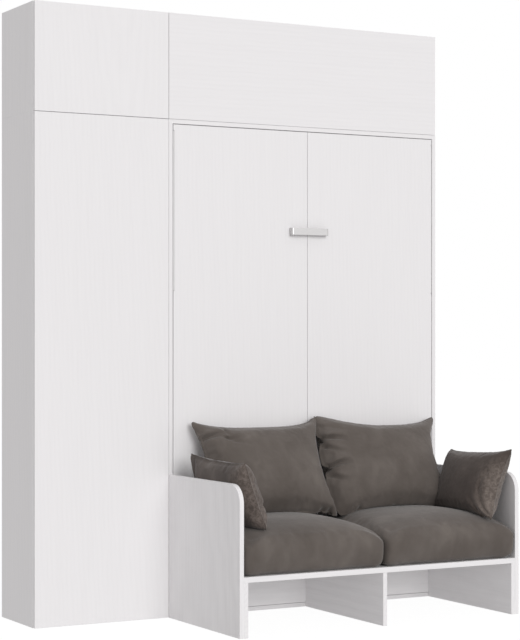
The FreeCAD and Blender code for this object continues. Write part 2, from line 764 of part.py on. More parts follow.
def back_cushion(side):
    """A loose cushion that leans back against the doors of the bed."""
    tilt = math.radians(back_cushion_tilt)
    v = Vector(0, math.sin(tilt), math.cos(tilt))
    w = Vector(0, -math.cos(tilt), math.sin(tilt))
    middle = bed_x + side * (back_cushion_width + back_cushion_middle_gap) / 2 + back_cushion_shift
    centre = Vector(middle, front_y - back_cushion_forward, back_cushion_centre_height)
    solid = placed(pillow(back_cushion_width, back_cushion_height, back_cushion_thickness, back_cushion_corner,
                          back_cushion_side_draw, back_cushion_top_draw), Vector(1, 0, 0), v, w, centre)
    room = box((left_x, right_x), (sofa_y, front_y - rest_gap),
               (seat_height + seat_cushion_crown + 2 * rest_gap, lower_height))
    return solid.common(room)


def arm_pillow(side, name, neighbour):
    """A small loose pillow that leans on the inside of an arm, pressed in by the back cushion next to it."""
    tilt, roll = math.radians(arm_pillow_tilts[name]), math.radians(arm_pillow_rolls[name])
    up = Vector(side * math.sin(tilt), 0, math.cos(tilt))
    w = Vector(-side * math.cos(tilt), 0, math.sin(tilt))
    along = up.cross(w)
    u = along * math.cos(roll) + up * math.sin(roll)
    centre = Vector(bed_x + side * (arm_inner - arm_pillow_inset), front_y - arm_pillow_forwards[name],
                    arm_pillow_centre_height)
    solid = placed(pillow(arm_pillow_width, arm_pillow_height, arm_pillow_thickness, arm_pillow_corner,
                          arm_pillow_side_draw, arm_pillow_top_draw), u, w.cross(u), w, centre)
    room = box(across(side, 0, arm_inner - rest_gap), (sofa_y, front_y),
               (seat_height + seat_cushion_crown + 2 * rest_gap, lower_height))
    hollow = neighbour.copy()
    hollow.translate(Vector(side * rest_gap, -2 * rest_gap, rest_gap))
    return solid.common(room).cut([neighbour, hollow])


def soft_pieces():
    """The sofa's six cushions, each lying or leaning where the photograph shows it."""
    for side, name in ((-1, "left"), (1, "right")):
        parts["seat_cushion_" + name] = seat_cushion(side)
        parts["back_cushion_" + name] = back_cushion(side)
        parts["arm_pillow_" + name] = arm_pillow(side, name, parts["back_cushion_" + name])


def main():
    """Make every piece and write it out."""
    hinge_plates = column() + upper_left() + upper_right()
    parts["hinge_plates"] = Part.makeCompound(hinge_plates)
    bed_surround()
    sofa()
    parts["bed_door_left"], parts["bed_door_right"] = bed_door(-1), bed_door(1)
    parts["bed_handle"] = handle()
    bed_frame()
    pivots()
    legs()
    parts["strut_studs"] = Part.makeCompound(bed_struts() + flap_stays())
    soft_pieces()
    os.makedirs("parts", exist_ok=True)
    for name, shape in parts.items():
        shape.exportStep(os.path.join("parts", name + ".step"))
        if not shape.isValid() or not shape.Solids:
            print("check", name, shape.isValid(), len(shape.Solids))
    print(len(parts), "pieces,", sum(len(shape.Solids) for shape in parts.values()), "solids")


main()
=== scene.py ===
import math

import bpy
import numpy as np
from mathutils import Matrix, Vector, noise
from mathutils.bvhtree import BVHTree

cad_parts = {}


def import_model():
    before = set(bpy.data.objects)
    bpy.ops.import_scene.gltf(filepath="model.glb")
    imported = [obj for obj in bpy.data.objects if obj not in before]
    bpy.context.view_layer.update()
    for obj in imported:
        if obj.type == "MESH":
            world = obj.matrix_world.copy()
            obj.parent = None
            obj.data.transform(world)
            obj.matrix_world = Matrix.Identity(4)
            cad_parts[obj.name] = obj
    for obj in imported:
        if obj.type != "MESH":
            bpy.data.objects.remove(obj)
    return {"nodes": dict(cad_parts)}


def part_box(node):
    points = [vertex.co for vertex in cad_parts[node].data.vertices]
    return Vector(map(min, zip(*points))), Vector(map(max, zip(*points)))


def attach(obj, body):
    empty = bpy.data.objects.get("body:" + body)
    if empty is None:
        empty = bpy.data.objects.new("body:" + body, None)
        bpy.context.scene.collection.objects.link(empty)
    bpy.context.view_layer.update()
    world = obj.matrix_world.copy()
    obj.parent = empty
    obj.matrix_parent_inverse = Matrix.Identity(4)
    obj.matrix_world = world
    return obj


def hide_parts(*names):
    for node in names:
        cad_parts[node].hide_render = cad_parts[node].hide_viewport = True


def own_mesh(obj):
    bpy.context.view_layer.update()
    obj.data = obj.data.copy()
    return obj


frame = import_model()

# A wall bed with a sofa, a tall column and two top cupboards. Metres, in the row frame.

scene = bpy.context.scene
nodes = frame["nodes"]
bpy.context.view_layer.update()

door_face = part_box("bed_door_left")[0].y
seat_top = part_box("seat_board")[1].z
arm_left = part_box("sofa_arm_left")[1].x
arm_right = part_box("sofa_arm_right")[0].x
clear = 0.0008


# Node helpers

class Nodes:
    """Builds one material's nodes."""

    def __init__(self, name):
        self.material = bpy.data.materials.new(name)
        self.material.use_nodes = True
        self.tree = self.material.node_tree
        self.tree.nodes.clear()
        self.output = self.add("ShaderNodeOutputMaterial")
        self.shader = self.add("ShaderNodeBsdfPrincipled")
        self.link(self.shader.outputs[0], self.output.inputs["Surface"])
        self.place = self.add("ShaderNodeTexCoord").outputs["Object"]

    def add(self, kind, **settings):
        node = self.tree.nodes.new(kind)
        for key, value in settings.items():
            setattr(node, key, value)
        return node

    def link(self, source, target):
        self.tree.links.new(source, target)

    def feed(self, socket, value):
        if hasattr(value, "is_output"):
            self.link(value, socket)
        else:
            socket.default_value = value

    def mapped(self, source, scale=(1, 1, 1), turn=(0, 0, 0), shift=(0, 0, 0)):
        node = self.add("ShaderNodeMapping")
        self.link(source, node.inputs["Vector"])
        node.inputs["Scale"].default_value = scale
        node.inputs["Rotation"].default_value = turn
        node.inputs["Location"].default_value = shift
        return node.outputs[0]

    def noise(self, source, scale, detail=2.0, rough=0.5, distortion=0.0):
        node = self.add("ShaderNodeTexNoise")
        self.link(source, node.inputs["Vector"])
        node.inputs["Scale"].default_value = scale
        node.inputs["Detail"].default_value = detail
        node.inputs["Roughness"].default_value = rough
        node.inputs["Distortion"].default_value = distortion
        return node.outputs[0]

    def math(self, operation, a, b=0.0, clamp=False):
        node = self.add("ShaderNodeMath", operation=operation, use_clamp=clamp)
        self.feed(node.inputs[0], a)
        self.feed(node.inputs[1], b)
        return node.outputs[0]

    def spread(self, source, low, high, to_low=0.0, to_high=1.0):
        node = self.add("ShaderNodeMapRange")
        self.feed(node.inputs["Value"], source)
        node.inputs["From Min"].default_value = low
        node.inputs["From Max"].default_value = high
        node.inputs["To Min"].default_value = to_low
        node.inputs["To Max"].default_value = to_high
        return node.outputs[0]

    def mix(self, share, a, b):
        node = self.add("ShaderNodeMix", data_type="RGBA")
        self.feed(node.inputs["Factor"], share)
        self.feed(node.inputs[6], a)
        self.feed(node.inputs[7], b)
        return node.outputs[2]

    def bump(self, height, strength, distance, below=None):
        node = self.add("ShaderNodeBump")
        node.inputs["Strength"].default_value = strength
        node.inputs["Distance"].default_value = distance
        self.link(height, node.inputs["Height"])
        if below is not None:
            self.link(below, node.inputs["Normal"])
        return node.outputs[0]

    def surface(self, colour, roughness, normal=None, **sockets):
        self.feed(self.shader.inputs["Base Color"], colour)
        self.feed(self.shader.inputs["Roughness"], roughness)
        if normal is not None:
            self.link(normal, self.shader.inputs["Normal"])
        for key, value in sockets.items():
            self.shader.inputs[key.replace("_", " ")].default_value = value
        return self.material


def shade(*levels):
    """A colour from sRGB levels of 0 to 255, as linear RGBA."""
    shares = [level / 255 for level in levels]
    return (*[s / 12.92 if s <= 0.04045 else ((s + 0.055) / 1.055) ** 2.4 for s in shares], 1.0)


# Materials

def laminate(name, grain, shift, contrast=1.0):
    """White ash laminate: growth rings cut by the board, with fine pressed pores along the grain."""
    m = Nodes(name)
    turns = {"x": (0, math.pi / 2, 0), "y": (math.pi / 2, 0, 0), "z": (0, 0, 0)}
    at = m.mapped(m.place, turn=turns[grain], shift=shift)
    drift = m.noise(m.mapped(at, scale=(1.6, 1.6, 0.35)), 2.2, 3, 0.5)
    tilted = m.mapped(at, turn=(0.062, 0.035, 0), shift=(0.11, 0.16, 0))
    rings = m.add("ShaderNodeTexWave", wave_type="RINGS", rings_direction="Z", wave_profile="SIN")
    m.link(tilted, rings.inputs["Vector"])
    rings.inputs["Scale"].default_value = 17.0
    rings.inputs["Distortion"].default_value = 3.2
    rings.inputs["Detail"].default_value = 3.0
    rings.inputs["Detail Scale"].default_value = 0.55
    ring = m.math("POWER", rings.outputs["Fac"], 1.6)
    pores = m.noise(m.mapped(at, scale=(1.0, 1.0, 0.018)), 620, 2.5, 0.6)
    pore = m.spread(pores, 0.50, 0.72)
    streaks = m.noise(m.mapped(at, scale=(1.0, 1.0, 0.03)), 95, 3, 0.55)
    streak = m.spread(streaks, 0.38, 0.66)
    pressed = m.math("MULTIPLY", pore, m.math("ADD", 0.35, m.math("MULTIPLY", ring, 0.75)))
    tone = m.math("ADD", m.math("MULTIPLY", ring, 0.22),
                  m.math("ADD", m.math("MULTIPLY", streak, 0.34), m.math("MULTIPLY", drift, 0.32)))
    tone = m.math("ADD", tone, m.math("MULTIPLY", pressed, 0.42), clamp=True)
    white = (0.854, 0.841, 0.847)
    light = [level + 0.014 * contrast for level in white]
    dark = [level - 0.018 * contrast for level in white]
    colour = m.mix(tone, (*light, 1), (*dark, 1))
    height = m.math("SUBTRACT", m.math("MULTIPLY", streak, 0.35), pressed)
    roughness = m.spread(tone, 0, 1, 0.50, 0.62)
    return m.surface(colour, roughness, m.bump(height, 0.14, 0.0005), Specular_IOR_Level=0.32)


def back_board(name):
    """Painted hardboard with a faint ripple."""
    m = Nodes(name)
    ripple = m.noise(m.place, 160, 3)
    colour = m.mix(m.spread(ripple, 0.3, 0.7), (0.80, 0.79, 0.78, 1), (0.86, 0.85, 0.84, 1))
    return m.surface(colour, 0.6, m.bump(ripple, 0.15, 0.0004))


def satin_metal(name):
    """Satin nickel, brushed along the handle."""
    m = Nodes(name)
    brushed = m.noise(m.mapped(m.place, scale=(0.02, 1, 1)), 2600, 2)
    colour = m.mix(m.spread(brushed, 0.3, 0.7), (0.52, 0.51, 0.51, 1), (0.59, 0.58, 0.58, 1))
    roughness = m.spread(brushed, 0.2, 0.8, 0.36, 0.48)
    return m.surface(colour, roughness, m.bump(brushed, 0.05, 0.0002), Metallic=1.0)


def plated_steel(name):
    """Zinc-plated steel with the soft spangle of plating."""
    m = Nodes(name)
    spangle = m.add("ShaderNodeTexVoronoi", feature="F1")
    m.link(m.place, spangle.inputs["Vector"])
    spangle.inputs["Scale"].default_value = 210.0
    cloud = m.noise(m.place, 45, 3)
    share = m.math("MULTIPLY", m.math("ADD", spangle.outputs["Distance"], cloud), 0.6, clamp=True)
    colour = m.mix(share, (0.55, 0.55, 0.56, 1), (0.70, 0.70, 0.70, 1))
    roughness = m.spread(cloud, 0.3, 0.7, 0.28, 0.44)
    return m.surface(colour, roughness, m.bump(cloud, 0.08, 0.0003), Metallic=1.0)


def powder_coat(name, colour, second):
    """Powder-coated steel with a fine orange peel."""
    m = Nodes(name)
    peel = m.noise(m.place, 900, 2)
    cloud = m.noise(m.place, 12, 2)
    return m.surface(m.mix(cloud, colour, second), m.spread(peel, 0.3, 0.7, 0.38, 0.5),
                     m.bump(peel, 0.18, 0.0003))


def rod_chrome(name):
    """Polished chrome with very fine drawn lines."""
    m = Nodes(name)
    lines = m.noise(m.mapped(m.place, scale=(1, 1, 0.01)), 3000, 1)
    return m.surface((0.82, 0.82, 0.83, 1), m.spread(lines, 0.2, 0.8, 0.08, 0.16), Metallic=1.0)


def slat_wood(name):
    """Beech veneer along the slats, with short flecks."""
    m = Nodes(name)
    long = m.noise(m.mapped(m.place, scale=(0.04, 1, 1)), 190, 3, 0.6)
    fleck = m.noise(m.mapped(m.place, scale=(0.16, 1, 1)), 900, 1)
    wide = m.noise(m.mapped(m.place, scale=(0.2, 0.4, 0.8)), 9, 2)
    colour = m.mix(m.spread(long, 0.3, 0.7), (0.62, 0.43, 0.24, 1), (0.76, 0.57, 0.35, 1))
    colour = m.mix(m.math("MULTIPLY", m.spread(fleck, 0.56, 0.7), 0.45), colour, (0.46, 0.28, 0.14, 1))
    colour = m.mix(m.math("MULTIPLY", wide, 0.25), colour, (0.80, 0.63, 0.42, 1))
    return m.surface(colour, 0.42, m.bump(long, 0.1, 0.0003), Coat_Weight=0.2, Coat_Roughness=0.3)


def holder_plastic(name):
    """Black moulded plastic with a fine grain."""
    m = Nodes(name)
    grain = m.noise(m.place, 1500, 2)
    return m.surface(m.mix(grain, (0.018, 0.018, 0.019, 1), (0.035, 0.035, 0.036, 1)), 0.55,
                     m.bump(grain, 0.25, 0.0002))


def mattress_cloth(name):
    """Knitted ticking: a fine rib with a soft raised pattern."""
    m = Nodes(name)
    knit_a = m.add("ShaderNodeTexWave", wave_type="BANDS", bands_direction="DIAGONAL")
    m.link(m.place, knit_a.inputs["Vector"])
    knit_a.inputs["Scale"].default_value = 260.0
    knit_a.inputs["Distortion"].default_value = 1.4
    fine = m.noise(m.place, 1900, 2)
    cloud = m.noise(m.place, 7, 3)
    share = m.math("ADD", m.math("MULTIPLY", knit_a.outputs["Fac"], 0.5), m.math("MULTIPLY", fine, 0.5))
    colour = m.mix(share, (0.72, 0.71, 0.68, 1), (0.86, 0.85, 0.82, 1))
    colour = m.mix(m.math("MULTIPLY", cloud, 0.3), colour, (0.80, 0.78, 0.74, 1))
    return m.surface(colour, 0.85, m.bump(share, 0.35, 0.0006), Sheen_Weight=0.15)


def strap_webbing(name):
    """Dark woven elastic webbing."""
    m = Nodes(name)
    weave = m.add("ShaderNodeTexWave", wave_type="BANDS", bands_direction="Z")
    m.link(m.place, weave.inputs["Vector"])
    weave.inputs["Scale"].default_value = 190.0
    cross = m.noise(m.place, 1200, 1)
    share = m.math("MULTIPLY", weave.outputs["Fac"], m.spread(cross, 0.2, 0.8, 0.5, 1))
    return m.surface(m.mix(share, (0.018, 0.018, 0.02, 1), (0.05, 0.05, 0.055, 1)), 0.8,
                     m.bump(share, 0.5, 0.0005))


def suede(name, dark, middle, light, shift, painted_light_end=None):
    """Suede-like microfibre: brushed nap that lies in patches, and may be painted lighter towards one end,
    as painted light where that end faces the lamps.
    """
    m = Nodes(name)
    at = m.mapped(m.place, shift=shift)
    broad = m.noise(at, 5.0, 3, 0.5, 0.3)
    patch = m.noise(m.mapped(at, scale=(1, 1, 0.6)), 16, 3, 0.5, 0.4)
    fibre = m.noise(at, 420, 3, 0.7)
    fuzz = m.noise(at, 2300, 2, 0.6)
    share = m.math("ADD", m.math("MULTIPLY", m.spread(broad, 0.30, 0.70), 0.6),
                   m.math("MULTIPLY", m.spread(patch, 0.28, 0.72), 0.4))
    colour = m.mix(m.spread(share, 0.18, 0.62), dark, middle)
    colour = m.mix(m.spread(share, 0.60, 0.92), colour, light)
    # painted light: the cloth is painted lighter, with mottling, towards the end that faces the lamps
    if painted_light_end is not None:
        begin, end, painted_light_colour, high, low = painted_light_end
        along = m.add("ShaderNodeSeparateXYZ")
        m.link(m.place, along.inputs[0])
        near = m.math("MULTIPLY", m.spread(along.outputs["Y"], begin, end),
                      m.spread(along.outputs["Z"], high, low))
        mottle = m.spread(m.noise(at, 75, 4, 0.6, 0.6), 0.42, 0.62)
        painted_light_share = m.math("MULTIPLY", near, m.math("ADD", 0.30, m.math("MULTIPLY", mottle, 0.70)), clamp=True)
        colour = m.mix(painted_light_share, colour, painted_light_colour)
    colour = m.mix(m.math("MULTIPLY", m.spread(fibre, 0.35, 0.75), 0.22), colour, light)
    colour = m.mix(m.math("MULTIPLY", m.spread(fuzz, 0.5, 0.8), 0.18), colour, dark)
    nap = m.bump(fuzz, 0.35, 0.0005, m.bump(fibre, 0.3, 0.0011))
    return m.surface(colour, m.spread(share, 0, 1, 0.93, 0.8), nap,
                     Sheen_Weight=0.25, Sheen_Roughness=0.45, Specular_IOR_Level=0.2)


upright_a = laminate("laminate_upright_a", "z", (0.00, 0.00, 0.0))
upright_b = laminate("laminate_upright_b", "z", (0.37, 0.05, 0.6))
upright_c = laminate("laminate_upright_c", "z", (0.83, -0.04, 1.7))
upright_d = laminate("laminate_upright_d", "z", (1.31, 0.11, 2.9))
level_a = laminate("laminate_level_a", "x", (0.2, 0.4, 0.3))
level_b = laminate("laminate_level_b", "x", (0.9, 0.1, 1.1))
deep_a = laminate("laminate_deep_a", "y", (0.4, 0.2, 0.5), 2.6)
deep_b = laminate("laminate_deep_b", "y", (1.1, 0.7, 0.2), 2.6)
arm_a = laminate("laminate_arm_a", "z", (1.31, 0.11, 2.9), 2.6)
arm_b = laminate("laminate_arm_b", "z", (0.52, 0.31, 1.3), 2.6)
edge_a = laminate("laminate_edge_a", "x", (0.3, 0.9, 0.7), 2.0)
finishes = {
    "column_side_left": upright_b, "column_side_right": upright_c, "column_flats": level_a,
    "column_shelves": level_b, "column_door": upright_a, "upper_left_sides": upright_d,
    "upper_left_flats": level_a, "upper_left_door": upright_b, "upper_right_sides": upright_a,
    "upper_right_flats": level_b, "upper_right_divider": upright_c, "upper_right_flap": level_a,
    "surround_left": upright_c, "surround_right": upright_b, "surround_top": level_b,
    "surround_bottom": level_a, "wall_rails": level_a, "lower_panel": edge_a,
    "sofa_arm_left": arm_a, "sofa_arm_right": arm_b, "seat_supports": deep_a,
    "seat_divider": deep_b, "seat_board": edge_a, "bed_door_left": upright_c, "bed_door_right": upright_d,
}
board_back = back_board("back_board")
steel = plated_steel("plated_steel")
frame_grey = powder_coat("frame_steel", (0.060, 0.060, 0.064, 1), (0.080, 0.080, 0.084, 1))
leg_white = powder_coat("white_steel", (0.80, 0.79, 0.79, 1), (0.84, 0.83, 0.83, 1))
strut_black = powder_coat("strut_paint", (0.010, 0.010, 0.011, 1), (0.016, 0.016, 0.018, 1))
rods = rod_chrome("rod_chrome")
for name in ("column_back", "upper_left_back", "upper_right_back"):
    finishes[name] = board_back
for name in ("hinge_plates", "strut_studs", "arm_bearings", "pivot_plate_left", "pivot_plate_right",
             "leg_pins", "bed_strut_frame_studs", "column_hinge_cups", "upper_left_hinge_cups",
             "flap_hinge_cups", "flap_stay_brackets"):
    finishes[name] = steel
for name in ("bed_rail_left", "bed_rail_right", "bed_cross_rails", "bed_rail_centre"):
    finishes[name] = frame_grey
for name in ("leg_left", "leg_right"):
    finishes[name] = leg_white
for name in ("bed_strut_cylinders", "flap_stay_cylinders"):
    finishes[name] = strut_black
for name in ("bed_strut_rods", "flap_stay_rods"):
    finishes[name] = rods
finishes["bed_handle"] = satin_metal("satin_metal")
finishes["slats"] = slat_wood("slat_wood")
finishes["slat_holders"] = holder_plastic("holder_plastic")
for name, material in finishes.items():
    nodes[name].data.materials.clear()
    nodes[name].data.materials.append(material)

cushion_tones = (shade(90, 83, 78), shade(101, 94, 89), shade(112, 105, 99))
seat_suede = suede("suede_seat", *cushion_tones, (0, 0, 0))
back_suede = suede("suede_back", *cushion_tones, (3.1, 1.7, 0.4))
# Painted light on a pillow's front end, where it faces the lamps: lighter from the first place along Y to
# the second, and from the first height to the second
pillow_suedes = {
    # painted shade: the left pillow gets darker colours than the right one of the same cloth, to darken its
    # upward-facing sheet where more light falls
    "left": suede("suede_pillow_left", shade(64, 56, 52), shade(78, 69, 64), shade(98, 89, 83),
                  (5.3, 0.2, 2.6), (door_face - 0.49, door_face - 0.58, shade(120, 110, 104), 0.90, 0.85)),
    "right": suede("suede_pillow_right", shade(70, 62, 58), shade(84, 75, 70), shade(104, 95, 89),
                   (2.3, 1.2, 4.6), (door_face - 0.52, door_face - 0.62, shade(130, 120, 113), 0.68, 0.60)),
}
ticking = mattress_cloth("mattress_cloth")
webbing = strap_webbing("strap_webbing")


# Mesh helpers

def ramp(value, start, end):
    """0 up to the start, 1 from the end on, and even in between."""
    return np.clip((value - start) / (end - start), 0, 1)


def piece(name, points, faces, material):
    """A new smooth mesh object from points and faces."""
    data = bpy.data.meshes.new(name)
    data.from_pydata([tuple(p) for p in points], [], faces)
    data.materials.append(material)
    data.polygons.foreach_set("use_smooth", [True] * len(data.polygons))
    data.update()
    made = bpy.data.objects.new(name, data)
    scene.collection.objects.link(made)
    return made


def points_of(obj):
    """An object's points, as rows of x, y and z."""
    flat = np.zeros(len(obj.data.vertices) * 3)
    obj.data.vertices.foreach_get("co", flat)
    return flat.reshape(-1, 3)


def set_points(obj, points):
    """Moves an object's points."""
    obj.data.vertices.foreach_set("co", np.asarray(points, float).ravel())
    obj.data.update()


def simulate(obj, pressure, frames, stretch, bend, cap, mass, shrink):
    """Inflates a closed cloth and keeps the result as the object's mesh. No point moves further than cap."""
    start = points_of(obj)
    scene.frame_set(1)
    cloth = obj.modifiers.new("Cloth", "CLOTH")
    settings = cloth.settings
    settings.quality = 6
    settings.mass = mass
    settings.tension_stiffness = stretch
    settings.compression_stiffness = stretch
    settings.shear_stiffness = stretch * 0.4
    settings.bending_stiffness = bend
    settings.air_damping = 2.0
    settings.use_pressure = True
    settings.uniform_pressure_force = pressure
    settings.shrink_min = shrink
    settings.effector_weights.gravity = 0
    cloth.point_cache.frame_start = 1
    cloth.point_cache.frame_end = frames
    for number in range(1, frames + 1):
        scene.frame_set(number)
    after = points_of(obj.evaluated_get(bpy.context.evaluated_depsgraph_get()))
    obj.modifiers.remove(cloth)
    scene.frame_set(1)
    moved = after - start
    length = np.linalg.norm(moved, axis=1, keepdims=True)
    set_points(obj, start + moved * np.minimum(1, cap / np.maximum(length, 1e-9)))


def subdivide(obj):
    """One round of smooth subdivision."""
    modifier = obj.modifiers.new("Subdivision", "SUBSURF")
    modifier.levels = modifier.render_levels = 1
    shown = obj.evaluated_get(bpy.context.evaluated_depsgraph_get())
    data = bpy.data.meshes.new_from_object(shown)
    obj.modifiers.remove(modifier)
    obj.data = data
    data.polygons.foreach_set("use_smooth", [True] * len(data.polygons))


def tree_of(obj, points=None):
    """A search tree of an object's surface, or of the same faces at other points."""
    at = points_of(obj) if points is None else points
    return BVHTree.FromPolygons([tuple(p) for p in at], [tuple(p.vertices) for p in obj.data.polygons])


def pushed_out(points, trees, gap):
    """Points that lie inside a neighbour are moved to just outside its nearest surface."""
    reach = 0.2
    moved = points.copy()
    for tree in trees:
        for index, point in enumerate(moved):
            hit, normal, _, _ = tree.find_nearest(Vector(point), reach)
            if hit is not None and (Vector(point) - hit).dot(normal) < gap:
                moved[index] = hit + normal * gap
    return moved


def smoothed(obj, rounds, share):
    """Averages each vertex with its neighbours."""
    points = points_of(obj)
    edges = np.array([e.vertices[:] for e in obj.data.edges])
    count = np.bincount(edges.ravel(), minlength=len(points))[:, None]
    for _ in range(rounds):
        total = np.zeros_like(points)
        np.add.at(total, edges[:, 0], points[edges[:, 1]])
        np.add.at(total, edges[:, 1], points[edges[:, 0]])
        mean = total / np.maximum(count, 1)
        points = points + (mean - points) * share
    set_points(obj, points)
    return points


# Blocks with round corners

def cushion_block(half_u, half_v, height, cells_u, cells_v, cells_w):
    """The surface of a block as a closed grid, in its own directions: u, v and a height from 0 up."""
    points, faces, found = [], [], {}

    def quad(*corners):
        for i, j, k in corners:
            if (i, j, k) not in found:
                found[i, j, k] = len(points)
                points.append((half_u * (2 * i / cells_u - 1), half_v * (2 * j / cells_v - 1),
                               height * k / cells_w))
        faces.append([found[corner] for corner in corners])

    for i in range(cells_u):
        for j in range(cells_v):
            quad((i, j, 0), (i, j + 1, 0), (i + 1, j + 1, 0), (i + 1, j, 0))
            quad((i, j, cells_w), (i + 1, j, cells_w), (i + 1, j + 1, cells_w), (i, j + 1, cells_w))
    for k in range(cells_w):
        for i in range(cells_u):
            quad((i, 0, k), (i + 1, 0, k), (i + 1, 0, k + 1), (i, 0, k + 1))
            quad((i, cells_v, k), (i, cells_v, k + 1), (i + 1, cells_v, k + 1), (i + 1, cells_v, k))
        for j in range(cells_v):
            quad((0, j, k), (0, j, k + 1), (0, j + 1, k + 1), (0, j + 1, k))
            quad((cells_u, j, k), (cells_u, j + 1, k), (cells_u, j + 1, k + 1), (cells_u, j, k + 1))
    # rounded as Blender rounds a mesh's points
    return np.array(points, np.float32).astype(float), faces


def rounded_plan(plan, half_u, half_v, corner):
    """Draws a block's plan in at its corners, so that each becomes an arc."""
    reach = np.array([half_u - corner, half_v - corner])
    core = np.clip(plan, -reach, reach)
    away = plan - core
    length = np.linalg.norm(away, axis=1)
    largest = np.max(np.abs(away), axis=1)
    return core + away * np.where(length > 1e-9, largest / np.maximum(length, 1e-9), 0)[:, None]


# Seat cushions

# How uneven the cloth is before it is relaxed, and the seed of each cushion's unevenness
seat_grain, sewn_grain = 0.0004, 0.0005
seeds = {"cushion_seat_left": 5, "cushion_seat_right": 9, "cushion_back_left": 11, "cushion_back_right": 23,
         "pillow_left": 31, "pillow_right": 47}
# Faint upright folds in a seat's front: place as a share of half its width, width and depth
seat_folds = ((-0.62, 0.030, 0.0030), (-0.18, 0.045, 0.0026), (0.22, 0.030, 0.0034), (0.66, 0.050, 0.0028))


def seat_cushion(side):
    """A plump box cushion: its front swells over the board's edge and its top rises to a crown."""
    name = "cushion_seat_" + side
    low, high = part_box("seat_cushion_" + side)
    half_u, half_v, crown = (high.x - low.x) / 2, (high.y - low.y) / 2, high.z - low.z
    swell, overhang, corner_fall = 0.002, 0.022, 0.034
    wall, corner, foot_round, top_round = 0.160, 0.028, 0.016, 0.050
    foot_end, shoulder_start, shoulder_turn = 0.18, 0.45, math.radians(78)
    belly_start, belly_end, top_overhang = 0.3, 0.6, 0.5
    points, faces = cushion_block(1, 1, 1, 60, 56, 20)
    share = points[:, 2]
    u0, v0 = half_u - swell, half_v - swell
    plan = rounded_plan(points[:, :2] * np.array([u0, v0]), u0, v0, corner)
    a, b = plan[:, 0] / u0, plan[:, 1] / v0
    # the wall's profile: a small round foot, a belly, and a large round shoulder
    foot = ramp(share, 0, foot_end) * math.pi / 2
    middle = ramp(share, foot_end, shoulder_start)
    shoulder = ramp(share, shoulder_start, 1) * shoulder_turn
    inset = foot_round * (1 - np.sin(foot)) + top_round * (1 - np.cos(shoulder))
    rise = foot_round * (1 - np.cos(foot)) + (wall - foot_round - top_round) * middle
    rise += top_round * np.sin(shoulder)
    fall = corner_fall * (np.abs(a) * np.abs(b)) ** 8
    dome = np.maximum((1 - np.abs(a) ** 3) * (1 - np.abs(b) ** 3), 0) ** 0.8
    on_top = share > 0.999
    height = rise * (1 - fall / wall) + np.where(on_top, (crown - wall) * dome, 0)
    shaped = np.stack([plan[:, 0] * (1 - inset / u0), plan[:, 1] * (1 - inset / v0), height], axis=1)
    # the front hangs over, most at the belly
    front = np.clip(-b, 0, 1) ** 4
    belly = ramp(share, 0, belly_start) * (1 - (1 - top_overhang) * ramp(share, belly_end, 1))
    shaped[:, 1] -= overhang * front * belly
    made = piece(name, shaped, faces, seat_suede)
    smoothed(made, rounds=3, share=0.5)
    rng = np.random.default_rng(seeds[name])
    set_points(made, points_of(made) + rng.normal(0, seat_grain, shaped.shape))
    simulate(made, pressure=2.4, frames=16, stretch=12, bend=0.6, cap=0.010, mass=0.4, shrink=-0.012)
    points = points_of(made)
    wander, turns_a_metre, begin = 0.012, 28, 0.2
    for place, width, depth in seat_folds:
        line = place * half_u + wander * np.sin(points[:, 2] * turns_a_metre + place * 9)
        near = np.exp(-((points[:, 0] - line) / width) ** 2) * np.clip(-points[:, 1] / half_v - begin, 0, 1)
        points[:, 1] += depth * near
    # the swollen cloth is flat where the arm, the other cushion and the board hold it
    limit = half_u - clear / 2
    points[:, 0] = np.clip(points[:, 0], -limit, limit)
    points[:, 1] = np.minimum(points[:, 1], half_v)
    points[:, 2] = np.maximum(points[:, 2], 0)
    points[:, 2] *= (crown - 0.75 * clear) / points[:, 2].max()
    lying = seat_top + clear
    points += np.array([(low.x + high.x) / 2, (low.y + high.y) / 2, lying])
    set_points(made, points)
    points = smoothed(made, rounds=1, share=0.35)
    points[:, 2] = np.maximum(points[:, 2], lying)
    set_points(made, points)
    subdivide(made)
    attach(made, "root")
    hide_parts("seat_cushion_" + side)
    return made


# Loose cushions

def sewn_sheets(size, cells, draws, power):
    """Two swelling sheets sewn together round their edge, with pointed corners. Local u, v and w."""
    half_u, half_v, half_w = (value / 2 for value in size)
    points, faces = [], []
    front, back = {}, {}
    for i in range(cells[0] + 1):
        for j in range(cells[1] + 1):
            a, b = 2 * i / cells[0] - 1, 2 * j / cells[1] - 1
            side = 0 if a < 0 else 1
            end_draw = draws["top"] if b > 0 else draws["foot"]
            blunt = 1 - draws["blunt"] * abs(a * b) ** 10
            u = (half_u * a - draws["sides"][side] * a * abs(a) * (1 - b * b)) * blunt
            v = (half_v * b - end_draw * b * abs(b) * (1 - abs(a) ** draws["curves"][side])) * blunt
            v += draws["lifts"][side] * a ** 4 * (1 + b) / 2
            v -= draws["sags"][side] * abs(a) ** 3 * min(b, 0) ** 2
            lift = half_w * ((1 - a * a) * (1 - b * b)) ** power
            rim = i in (0, cells[0]) or j in (0, cells[1])
            front[i, j] = len(points)
            points.append((u, v, 0 if rim else lift))
            if rim:
                back[i, j] = front[i, j]
            else:
                back[i, j] = len(points)
                points.append((u, v, -lift))
    for i in range(cells[0]):
        for j in range(cells[1]):
            faces.append([front[i, j], front[i + 1, j], front[i + 1, j + 1], front[i, j + 1]])
            faces.append([back[i, j], back[i, j + 1], back[i + 1, j + 1], back[i + 1, j]])
    seam = {index for key, index in front.items() if back[key] == index}
    return np.array(points), faces, seam


